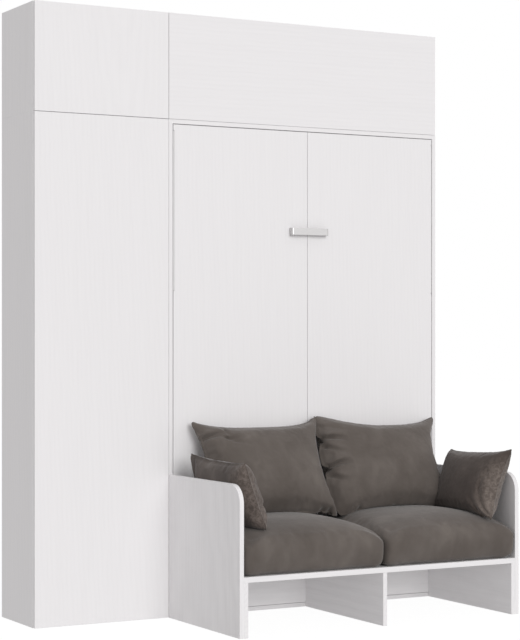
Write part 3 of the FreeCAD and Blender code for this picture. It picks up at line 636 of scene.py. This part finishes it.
def creased(points, size, creases):
    """Presses creases into a cushion's front. Each starts in a pinch, widens, fades and has a raised lip."""
    half_u, half_v = size[0] / 2, size[1] / 2
    lip_height, lip_place, lip_width = 0.40, 1.7, 1.5
    pinch_depth, pinch_width, run_in = 0.8, 1.8, 0.15
    narrow, widening, least_thickness = 0.7, 0.9, 0.002
    for (a0, b0), (a1, b1), bend, width, depth in creases:
        start = np.array([a0 * half_u, b0 * half_v])
        way = np.array([(a1 - a0) * half_u, (b1 - b0) * half_v])
        long = np.linalg.norm(way)
        way = way / long
        rel = points[:, :2] - start
        along = rel @ way / long
        aside = rel @ np.array([-way[1], way[0]]) - bend * 4 * along * (1 - along)
        spread = width * (narrow + widening * np.clip(along, 0, 1))
        fade = ramp(along, -run_in, 0) * np.clip(1.05 - along, 0, 1) ** 0.7
        lip = lip_height * np.exp(-((aside / spread - lip_place) / lip_width) ** 2)
        press = depth * (np.exp(-(aside / spread) ** 2) - lip) * fade
        facing = points[:, 2] > 0
        most = np.maximum(points[:, 2] - least_thickness, 0)
        points[:, 2] -= np.where(facing, np.minimum(press, most), 0)
        near = np.linalg.norm(rel, axis=1) / (pinch_width * width)
        points[:, :2] += pinch_depth * depth * np.exp(-near ** 2)[:, None] * way
    return points


def gathered(points, size, seed, depth, reach):
    """Small uneven puckers where the cloth is gathered into the seams."""
    half_u, half_v = size[0] / 2, size[1] / 2
    fine, coarse, always, thin = 34, 7, 0.25, 0.006
    moved = points.copy()
    for index, (x, y, z) in enumerate(points):
        a, b = abs(x) / half_u, abs(y) / half_v
        # for each seam: the way to it, the place along it, and a mark that makes its puckers differ
        seams = ((half_u - abs(x), y, 3.1 if x > 0 else 7.7), (half_v - abs(y), x, 1.3 if y > 0 else 9.2))
        for gap, place, mark in seams:
            if gap > 3 * reach:
                continue
            wave = noise.noise(Vector((place * fine, mark, seed * 1.7)))
            strength = max(0, noise.noise(Vector((place * coarse, mark + 4, seed * 0.9))) + always)
            fade = math.exp(-(gap / reach) ** 2) * min(1, (1 - min(a, b) ** 6) * 1.5)
            moved[index, 2] += math.copysign(depth, z) * wave * strength * fade * min(1, abs(z) / thin)
    return moved


def hemmed(obj, width, thick):
    """Draws the sewn edge out into a thin hem, and brings the cloth on both its sides in to the seam."""
    points = points_of(obj)
    moved = points.copy()
    ring, beside = {}, {}
    seam = {v for e in obj.data.edges if e.use_seam for v in e.vertices}
    for edge in obj.data.edges:
        a, b = edge.vertices
        if edge.use_seam:
            ring.setdefault(a, []).append(b)
            ring.setdefault(b, []).append(a)
        elif (a in seam) != (b in seam):
            inner, outer = (b, a) if a in seam else (a, b)
            beside.setdefault(inner, []).append(outer)
    for inner, outer in beside.items():
        held = points[outer].mean(0)
        moved[inner] = held + np.array([0, 0, math.copysign(thick / 2, points[inner, 2] - held[2])])
    for index, (before, after) in ring.items():
        along = points[after] - points[before]
        outward = np.array([along[1], -along[0], 0])
        outward *= math.copysign(1, outward @ points[index]) / max(np.linalg.norm(outward), 1e-9)
        moved[index] = points[index] + width * outward
    set_points(obj, moved)


def sewn_cushion(name, size, cells, draws, power, material, cap, creases):
    """A stuffed cushion: two swollen sheets, relaxed as cloth, creased and hemmed.

    Also gives its points without the hem.
    """
    points, faces, seam = sewn_sheets(size, cells, draws, power)
    made = piece(name, points, faces, material)
    for edge in made.data.edges:
        edge.use_seam = all(v in seam for v in edge.vertices)
    rng = np.random.default_rng(seeds[name])
    set_points(made, points + rng.normal(0, sewn_grain, points.shape))
    simulate(made, pressure=3.0, frames=18, stretch=9.0, bend=0.15, cap=cap, mass=0.2, shrink=-0.02)
    subdivide(made)
    points = points_of(made)
    points -= (points.max(0) + points.min(0)) / 2
    points *= np.array(size) / (points.max(0) - points.min(0))
    points = gathered(points, size, seeds[name], depth=0.012, reach=0.022)
    points = creased(points, size, creases)
    set_points(made, points)
    hemmed(made, width=0.004, thick=0.0024)
    return made, points


# How a cushion's outline is shaped. "top" and "foot" say how far these ends are drawn in, and "blunt" how
# much the corners are cut back. Pairs are for the left and the right side: how far each side is drawn in,
# how flat the ends stay towards that side, how far its top corner is lifted, and how far its foot sags.
back_draws = {
    "left": {"sides": (0.034, 0.036), "top": 0.041, "foot": 0.004, "blunt": 0.065,
             "curves": (3, 4.5), "lifts": (0, 0.010), "sags": (0, 0.020)},
    "right": {"sides": (-0.022, 0.058), "top": 0.062, "foot": 0.004, "blunt": 0.065,
              "curves": (1.5, 4), "lifts": (0, -0.021), "sags": (0.018, 0)},
}
# Each crease: where it starts, where it ends, how far it bends aside, its width and its depth
back_creases = {
    "left": (((-1.00, 0.56), (-0.64, 0.63), 0.000, 0.009, 0.038),
             ((-0.60, 0.72), (-0.57, 0.50), -0.005, 0.007, 0.009),
             ((-0.66, 0.52), (-0.40, 0.50), -0.008, 0.008, 0.015),
             ((-0.54, 0.42), (-0.26, 0.30), 0.004, 0.009, 0.006),
             ((-1.00, 0.30), (-0.82, 0.22), 0.003, 0.007, 0.010),
             ((0.22, -0.98), (0.23, -0.90), 0.0, 0.007, 0.014),
             ((0.33, -0.98), (0.35, -0.90), 0.0, 0.006, 0.013),
             ((0.72, -0.98), (0.74, -0.88), 0.0, 0.009, 0.020),
             ((0.84, -0.98), (0.85, -0.89), 0.0, 0.007, 0.016),
             ((-0.20, -0.98), (-0.18, -0.90), 0.0, 0.007, 0.011),
             ((0.95, 0.42), (0.86, 0.34), 0.0, 0.007, 0.010),
             ((0.95, -0.06), (0.85, -0.14), 0.0, 0.007, 0.010)),
    "right": (((-1.00, 0.50), (-0.66, 0.42), 0.006, 0.008, 0.036),
              ((-0.96, 0.36), (-0.70, 0.14), -0.006, 0.007, 0.016),
              ((-1.00, -0.10), (-0.68, -0.06), 0.006, 0.008, 0.036),
              ((-0.96, -0.24), (-0.76, -0.42), -0.004, 0.007, 0.014),
              ((-0.94, 0.78), (-0.66, 0.66), -0.004, 0.008, 0.006),
              ((0.95, 0.50), (0.84, 0.40), 0.0, 0.007, 0.011),
              ((0.96, 0.10), (0.87, 0.00), 0.0, 0.007, 0.010),
              ((0.97, -0.34), (0.90, -0.40), 0.0, 0.007, 0.008),
              ((-0.62, -0.98), (-0.60, -0.89), 0.0, 0.008, 0.016),
              ((-0.04, -0.98), (-0.03, -0.90), 0.0, 0.008, 0.018),
              ((0.28, -0.98), (0.29, -0.91), 0.0, 0.007, 0.014),
              ((0.70, -0.98), (0.71, -0.91), 0.0, 0.007, 0.014)),
}
pillow_draws = {
    "left": {"sides": (0.006, 0.024), "top": 0.016, "foot": 0.008, "blunt": 0.05,
             "curves": (3, 3), "lifts": (0, 0), "sags": (0, 0)},
    "right": {"sides": (0.014, 0.022), "top": 0.014, "foot": 0.008, "blunt": 0.04,
              "curves": (3, 3), "lifts": (0, 0), "sags": (0, 0)},
}
pillow_creases = {
    "left": (((-0.80, 0.75), (-0.62, 0.05), 0.010, 0.014, 0.006),
             ((-0.92, -0.35), (-0.58, -0.60), 0.006, 0.012, 0.007),
             ((0.30, 0.92), (0.10, 0.40), 0.008, 0.012, 0.005)),
    "right": (((0.92, -0.92), (0.60, -0.12), 0.010, 0.009, 0.010),
              ((0.95, -0.74), (0.76, 0.22), -0.010, 0.008, 0.009),
              ((0.80, -0.96), (0.40, -0.46), 0.006, 0.009, 0.008),
              ((0.98, -0.16), (0.66, 0.34), 0.008, 0.008, 0.007),
              ((0.62, -0.30), (0.82, 0.42), 0.010, 0.008, 0.006),
              ((0.98, 0.30), (0.78, 0.55), 0.0, 0.007, 0.006)),
}
# How each pillow lies: how far its middle is before the doors and above the floor, its roll in degrees,
# and its length, width and thickness
pillow_places = {
    "left": (0.357, 0.543, -0.9, (0.460, 0.297, 0.140)),
    "right": (0.415, 0.550, 0.5, (0.438, 0.286, 0.140)),
}


def back_cushion(side, seat_trees):
    """A large loose cushion that leans on the doors and stands on the seat.

    Also gives its tree without the hem.
    """
    low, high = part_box("back_cushion_" + side)
    tilt, tall, thick = math.radians(25), 0.452, 0.215
    forward, height, fuller_end = 0.128, 0.620, 0.003
    fullness, slimmer_top = 1.06, 0.20
    draws = back_draws[side]
    left, right = low.x, high.x
    if side == "right":
        # its free side bulges over the other cushion, and its end by the arm is a little fuller
        left += draws["sides"][0]
        right += fuller_end
    size = (right - left, tall, thick)
    made, bare = sewn_cushion("cushion_back_" + side, size, cells=(76, 58), draws=draws, power=0.56,
                              material=back_suede, cap=0.012, creases=back_creases[side])
    v = np.array([0, math.sin(tilt), math.cos(tilt)])
    w = np.array([0, -math.cos(tilt), math.sin(tilt)])
    centre = np.array([(left + right) / 2, door_face - forward, height])

    def placed(p):
        through = p[:, 2:] * (fullness - slimmer_top * p[:, 1:2] / (tall / 2))
        points = centre + p[:, :1] * np.array([1, 0, 0]) + p[:, 1:2] * v + through * w
        points[:, 1] = np.minimum(points[:, 1], door_face - clear)
        points = pushed_out(points, seat_trees, clear)
        points[:, 1] = np.minimum(points[:, 1], door_face - clear)
        return points

    set_points(made, placed(points_of(made)))
    return made, tree_of(made, placed(bare))


def arm_pillow(side, trees):
    """A small pillow that leans on the inside of an arm, over the seat."""
    forward, height, degrees, size = pillow_places[side]
    tilt, roll, taper, off_arm = math.radians(20), math.radians(degrees), 0.07, 0.076
    made, _ = sewn_cushion("pillow_" + side, size, cells=(56, 38), draws=pillow_draws[side], power=0.48,
                           material=pillow_suedes[side], cap=0.009, creases=pillow_creases[side])
    p = points_of(made)
    p[:, 1] *= 1 + taper * p[:, 0] / (size[0] / 2)
    sign, inner = (-1, arm_left) if side == "left" else (1, arm_right)
    up = np.array([sign * math.sin(tilt), 0, math.cos(tilt)])
    w = np.array([-sign * math.cos(tilt), 0, math.sin(tilt)])
    along = np.cross(up, w)
    u = along * math.cos(roll) + up * math.sin(roll)
    v = np.cross(w, u)
    centre = np.array([inner - sign * off_arm, door_face - forward, height])
    placed = centre + p[:, :1] * u + p[:, 1:2] * v + p[:, 2:] * w
    # the cloth gives way to the plate between two places before the plate's front edge
    plate_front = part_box("pivot_plate_" + side)[0].y
    plate_room, way_starts, way_ends = 0.0135, 0.035, 0.005

    def kept(points):
        """Keeps points off the arm, and at the back end off the plate that swings down beside it."""
        beside_plate = ramp(points[:, 1], plate_front - way_starts, plate_front - way_ends)
        limit = inner - sign * (clear + plate_room * beside_plate)
        points[:, 0] = np.minimum(points[:, 0], limit) if sign > 0 else np.maximum(points[:, 0], limit)
        return points

    set_points(made, kept(pushed_out(kept(placed), trees, clear)))
    return made


def soft(obj, node):
    """Ties a loose cushion to the root in place of its CAD solid, which is hidden, and gives it a mesh of
    its own.
    """
    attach(obj, "root")
    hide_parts(node)
    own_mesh(obj)


sides = ("left", "right")
seat_trees = [tree_of(seat_cushion(side)) for side in sides]
backs, back_trees = zip(*[back_cushion(side, seat_trees) for side in sides])
pillows = [arm_pillow(side, seat_trees + list(back_trees)) for side in sides]
for side, back, pillow in zip(sides, backs, pillows):
    soft(back, "back_cushion_" + side)
    soft(pillow, "arm_pillow_" + side)


# Mattress and its straps

def mattress():
    """A sprung mattress: quilted faces, piped edges and a ribbed border."""
    low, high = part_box("mattress")
    middle_x, middle_z = (low.x + high.x) / 2, (low.z + high.z) / 2
    half_u, half_v, thick = (high.x - low.x) / 2, (high.z - low.z) / 2, high.y - low.y
    corner, piping, piping_middle = 0.045, 0.003, 0.006
    quilt_pitch, quilt_depth, quilt_margin = 0.17, 0.0065, 0.03
    under_box, edge_fall, edge_margin = 0.0005, 0.0064, 0.02
    border_inset, rib_height, ribs = 0.0026, 0.0022, 3
    points, faces = cushion_block(half_u, half_v, thick, 80, 120, 12)
    points[:, :2] = rounded_plan(points[:, :2], half_u, half_v, corner)
    a, b = points[:, 0], points[:, 1]
    depth = np.minimum(half_u - np.abs(a), half_v - np.abs(b))
    share = 2 * points[:, 2] / thick - 1
    face = np.abs(share) > 0.999
    waves = np.sin(math.pi * (a + b) / quilt_pitch) * np.sin(math.pi * (a - b) / quilt_pitch)
    quilt = np.abs(waves) ** 0.6
    sink = under_box + quilt_depth * (1 - quilt) * ramp(depth, 0, quilt_margin)
    sink += edge_fall * (1 - ramp(depth, 0, edge_margin)) ** 2
    points[:, 2] -= np.where(face, np.sign(share) * sink, 0)
    rib = np.where(face, 0, rib_height * (1 - np.cos(math.pi * ribs * (share + 1))) / 2)
    outward = np.stack([a / half_u, b / half_v], axis=1) ** 9
    norm = np.maximum(np.linalg.norm(outward, axis=1, keepdims=True), 1e-9)
    points[:, :2] -= outward / norm * ((border_inset - rib) * np.where(face, 0, 1))[:, None]
    placed = np.stack([points[:, 0] + middle_x, high.y - points[:, 2], points[:, 1] + middle_z], axis=1)
    made = piece("mattress_quilted", placed, faces, ticking)
    subdivide(made)
    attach(made, "bed")
    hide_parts("mattress")

    # piping where the faces meet the border
    turn = corner - piping
    for number, place in enumerate((low.y + piping_middle, high.y - piping_middle)):
        ring = []
        for index, (su, sv) in enumerate(((1, 1), (-1, 1), (-1, -1), (1, -1))):
            for step in range(9):
                angle = (index + step / 8) * math.pi / 2
                ring.append((middle_x + su * (half_u - corner) + turn * math.cos(angle), place,
                             middle_z + sv * (half_v - corner) + turn * math.sin(angle)))
        curve = bpy.data.curves.new("mattress_piping_%d" % number, "CURVE")
        curve.dimensions = "3D"
        spline = curve.splines.new("POLY")
        spline.points.add(len(ring) - 1)
        for point, at in zip(spline.points, ring):
            point.co = (*at, 1)
        spline.use_cyclic_u = True
        curve.bevel_depth = piping
        curve.bevel_resolution = 3
        curve.materials.append(ticking)
        pipe = bpy.data.objects.new("mattress_piping_%d" % number, curve)
        scene.collection.objects.link(pipe)
        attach(pipe, "bed")


def strap_line(low, high, thick):
    """A strap's middle line in x and y: up one side of the mattress, over its face and down the other."""
    corner, straight_steps = 0.004, 40
    left, top = low.x + thick / 2, high.y - thick / 2
    line = [(left, low.y), (left, high.y - corner)]
    for step in range(1, 6):
        angle = step * math.pi / 12
        line.append((left + corner * (1 - math.cos(angle)), top - corner + corner * math.sin(angle)))
    mirrored = [(low.x + high.x - x, y) for x, y in reversed(line)]
    for step in range(straight_steps + 1):
        share = step / straight_steps
        line.append((left + corner + (high.x - low.x - 2 * corner - thick) * share, top))
    return line + mirrored


def webbing_band(name, line, z0, z1, thick):
    """One band of webbing along the line, from z0 to z1, with thin edges."""
    across = (0, 0.02, 0.1, 0.3, 0.5, 0.7, 0.9, 0.98, 1)
    fullness = (0.1, 0.8, 1, 1, 1, 1, 1, 0.8, 0.1)
    rows = len(across)
    ring = 2 * rows
    points, faces = [], []

    def quad(first, one_way, other_way, kept):
        corners = [first, first + one_way, first + one_way + other_way, first + other_way]
        faces.append(corners if kept else corners[::-1])

    for index, (x, y) in enumerate(line):
        before, after = line[max(index - 1, 0)], line[min(index + 1, len(line) - 1)]
        dx, dy = after[0] - before[0], after[1] - before[1]
        long = math.hypot(dx, dy)
        for sign in (1, -1):
            for share, full in zip(across, fullness):
                lift = sign * full * thick / 2
                points.append((x - dy / long * lift, y + dx / long * lift, z0 + (z1 - z0) * share))
    for index in range(len(line) - 1):
        for face in range(2):
            for k in range(rows - 1):
                quad(index * ring + face * rows + k, 1, ring, face == 0)
        for k in (0, rows - 1):
            quad(index * ring + k, ring, rows, k == 0)
    for index in (0, len(line) - 1):
        for k in range(rows - 1):
            quad(index * ring + k, rows, 1, index == 0)
    return piece(name, points, faces, webbing)


def straps():
    """Two elastic straps over the mattress."""
    thick = 0.0016
    line = strap_line(*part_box("mattress_straps"), thick)
    heights = sorted(set(np.round(points_of(nodes["mattress_straps"])[:, 2], 4)))
    middle = (heights[0] + heights[-1]) / 2
    bands = ([h for h in heights if h < middle], [h for h in heights if h > middle])
    for number, band in enumerate(bands):
        made = webbing_band("strap_%d" % number, line, band[0], band[-1], thick)
        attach(made, "bed")
        if number == 0:
            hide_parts("mattress_straps")


mattress()
straps()


# Room, light and camera

def seen(tree):
    """1 for what the camera sees, also in gloss and through glass, and 0 for light on the object."""
    path = tree.nodes.new("ShaderNodeLightPath")
    most = path.outputs["Is Camera Ray"]
    for name in ("Is Glossy Ray", "Is Transmission Ray"):
        node = tree.nodes.new("ShaderNodeMath")
        node.operation = "MAXIMUM"
        tree.links.new(most, node.inputs[0])
        tree.links.new(path.outputs[name], node.inputs[1])
        most = node.outputs[0]
    return most


def plain(tree, kind, colour, strength=None):
    """A shader of one colour."""
    node = tree.nodes.new(kind)
    node.inputs["Color"].default_value = (*colour, 1)
    if strength is not None:
        node.inputs["Strength"].default_value = strength
    return node


def joined(tree, kind, first, second):
    """Two shaders, added or mixed."""
    node = tree.nodes.new(kind)
    tree.links.new(first.outputs[0], node.inputs[-2])
    tree.links.new(second.outputs[0], node.inputs[-1])
    return node


def parted(tree, lighting, shown, out):
    """Ends a tree with one shader for the light on the object and one for what the camera sees."""
    mix = joined(tree, "ShaderNodeMixShader", lighting, shown)
    tree.links.new(seen(tree), mix.inputs[0])
    tree.links.new(mix.outputs[0], tree.nodes.new(out).inputs["Surface"])


def room():
    """A white floor that the photograph's background runs into. It keeps a faint shadow."""
    reach, below = 30.0, -0.0006
    material = bpy.data.materials.new("floor")
    material.use_nodes = True
    tree = material.node_tree
    tree.nodes.clear()
    shown = joined(tree, "ShaderNodeAddShader", plain(tree, "ShaderNodeEmission", (1, 1, 1), 0.93),
                   plain(tree, "ShaderNodeBsdfDiffuse", (0.12, 0.12, 0.12)))
    lighting = joined(tree, "ShaderNodeAddShader", plain(tree, "ShaderNodeEmission", (1, 0.99, 0.99), 0.40),
                      plain(tree, "ShaderNodeBsdfDiffuse", (0.15, 0.15, 0.15)))
    parted(tree, lighting, shown, "ShaderNodeOutputMaterial")
    data = bpy.data.meshes.new("floor")
    data.from_pydata([(-reach, -reach, below), (reach, -reach, below), (reach, reach, below),
                      (-reach, reach, below)], [], [[0, 1, 2, 3]])
    data.materials.append(material)
    floor = bpy.data.objects.new("floor", data)
    scene.collection.objects.link(floor)


def world():
    """Even light from all round, in front of a white background."""
    scene.world = bpy.data.worlds.new("studio")
    scene.world.use_nodes = True
    tree = scene.world.node_tree
    tree.nodes.clear()
    parted(tree, plain(tree, "ShaderNodeBackground", (1.0, 0.985, 0.99), 0.61),
           plain(tree, "ShaderNodeBackground", (1, 1, 1), 1.0), "ShaderNodeOutputWorld")


def sun(name, towards, spread, strength):
    """Far light from one direction, with soft shadows."""
    data = bpy.data.lights.new(name, "SUN")
    data.angle = math.radians(spread)
    data.energy = strength
    made = bpy.data.objects.new(name, data)
    scene.collection.objects.link(made)
    made.rotation_euler = (-Vector(towards)).to_track_quat("-Z", "Y").to_euler()


def photographers_camera():
    """The camera that was fitted to the photograph's edges."""
    sensor = 36.0
    wide, high = 520, 640
    focal, across, down = 1872.64, 282.06, 332.49  # pixels of the photograph's frame
    data = bpy.data.cameras.new("camera")
    data.sensor_width = sensor
    data.lens = focal / high * sensor
    data.shift_x = (wide / 2 - across) / high
    data.shift_y = (down - high / 2) / high
    data.clip_end = 100
    made = bpy.data.objects.new("camera", data)
    scene.collection.objects.link(made)
    made.location = (-3.8025, -6.9189, 1.1922)
    made.rotation_euler = (math.pi / 2, 0, -math.radians(29.418))
    scene.camera = made


room()
world()
sun("key", (-0.05, -0.95, 0.28), 30, 1.28)
photographers_camera()
scene.view_settings.view_transform = "Standard"
